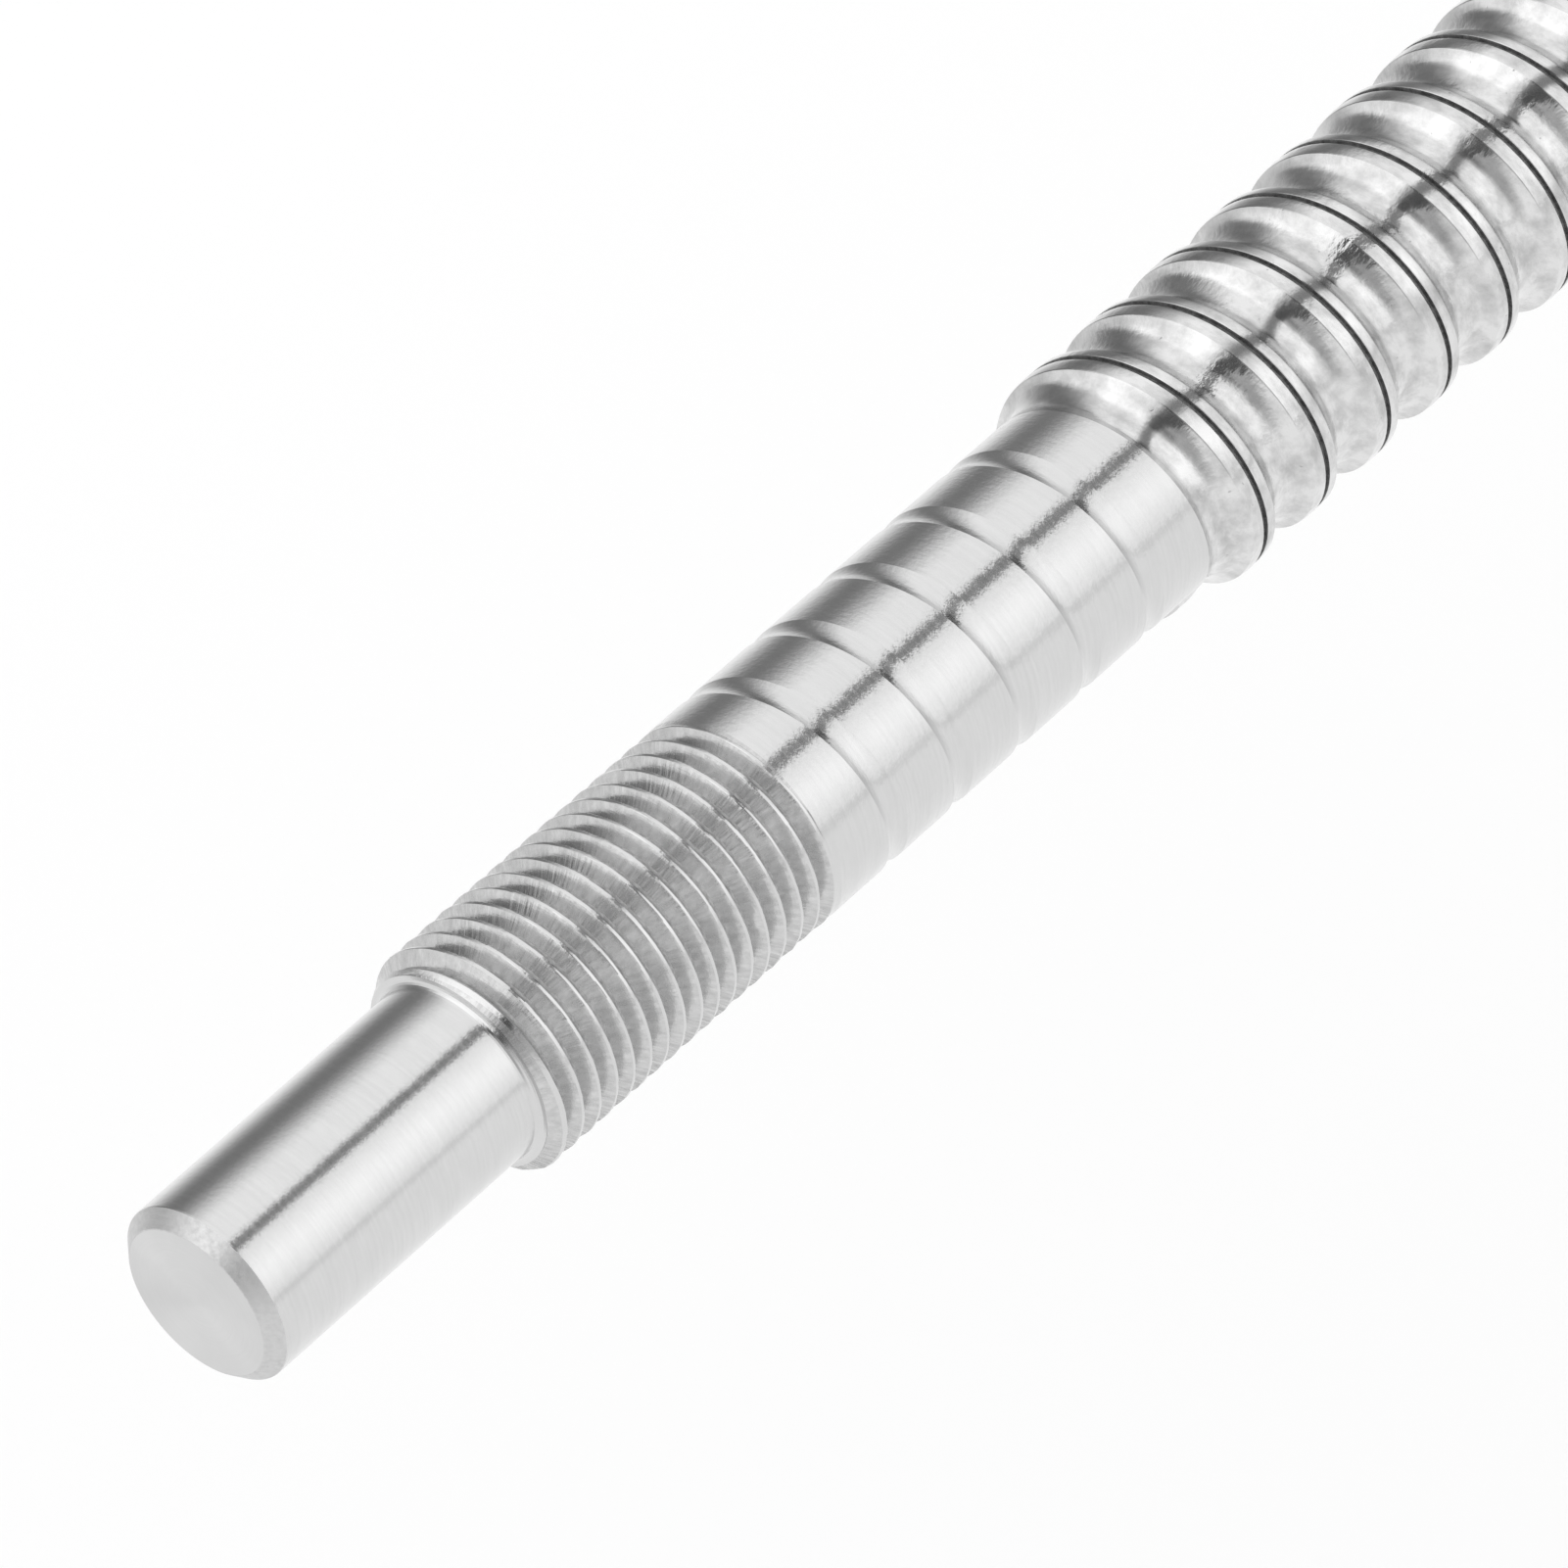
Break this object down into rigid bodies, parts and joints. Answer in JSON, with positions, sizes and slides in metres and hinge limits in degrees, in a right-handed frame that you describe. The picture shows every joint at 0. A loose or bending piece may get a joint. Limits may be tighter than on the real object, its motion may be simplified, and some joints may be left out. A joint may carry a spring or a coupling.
{
  "type": "ball screw assembly",
  "caption": "Rolled ball screw with a stepped fixed end, a lock nut thread and a bearing journal, carrying a flanged ball nut with internal ball return.",
  "frame": {"origin": "centre of the end face of the coupling seat, at the fixed end", "axes": "+X along the screw towards the floating end, +Y along the flange's long side, +Z square to the flange's flats, through the grease port"},
  "size_m": [0.2, 0.04, 0.03],
  "materials": {
    "ground_steel": "ground and rolled bearing steel, bright, lightly oiled",
    "nut_steel": "turned and ground case-hardened steel",
    "ball_steel": "lapped and polished bearing steel",
    "spring_steel": "blackened steel",
    "white_resin": "moulded acetal, satin",
    "dark_resin": "moulded glass-filled nylon, satin"
  },
  "bodies": {
    "shaft": {"screw_shaft": "ground_steel"},
    "travel_rings": {"retaining_ring_front": "spring_steel", "retaining_ring_rear": "spring_steel"},
    "nut": {"nut_body": "nut_steel", "ball_1_01": "ball_steel", "ball_1_02": "ball_steel", "ball_1_03": "ball_steel", "ball_1_04": "ball_steel", "ball_1_05": "ball_steel", "ball_1_06": "ball_steel", "ball_1_07": "ball_steel", "ball_1_08": "ball_steel", "ball_1_09": "ball_steel", "ball_1_10": "ball_steel", "ball_1_11": "ball_steel", "ball_1_12": "ball_steel", "ball_1_13": "ball_steel", "ball_1_14": "ball_steel", "ball_1_15": "ball_steel", "ball_2_01": "ball_steel", "ball_2_02": "ball_steel", "ball_2_03": "ball_steel", "ball_2_04": "ball_steel", "ball_2_05": "ball_steel", "ball_2_06": "ball_steel", "ball_2_07": "ball_steel", "ball_2_08": "ball_steel", "ball_2_09": "ball_steel", "ball_2_10": "ball_steel", "ball_2_11": "ball_steel", "ball_2_12": "ball_steel", "ball_2_13": "ball_steel", "ball_2_14": "ball_steel", "ball_2_15": "ball_steel", "ball_3_01": "ball_steel", "ball_3_02": "ball_steel", "ball_3_03": "ball_steel", "ball_3_04": "ball_steel", "ball_3_05": "ball_steel", "ball_3_06": "ball_steel", "ball_3_07": "ball_steel", "ball_3_08": "ball_steel", "ball_3_09": "ball_steel", "ball_3_10": "ball_steel", "ball_3_11": "ball_steel", "ball_3_12": "ball_steel", "ball_3_13": "ball_steel", "ball_3_14": "ball_steel", "ball_3_15": "ball_steel", "deflector_1": "dark_resin", "deflector_2": "dark_resin", "deflector_3": "dark_resin", "wiper_front": "white_resin", "wiper_rear": "white_resin", "grease_plug": "spring_steel"}
  },
  "joints": [
    {"name": "nut_travel", "type": "slide", "parent": "shaft", "child": "travel_rings", "axis": [1, 0, 0], "range_m": [-0.052, 0.042]},
    {"name": "nut_spin", "type": "hinge", "parent": "travel_rings", "child": "nut", "pos_m": [0.12809, 0, 0], "axis": [1, 0, 0], "range_deg": [-4680, 3780]}
  ],
  "couplings": [
    {"joint": "nut_travel", "follows": "nut_spin", "m_per_rad": 0.00063662}
  ]
}
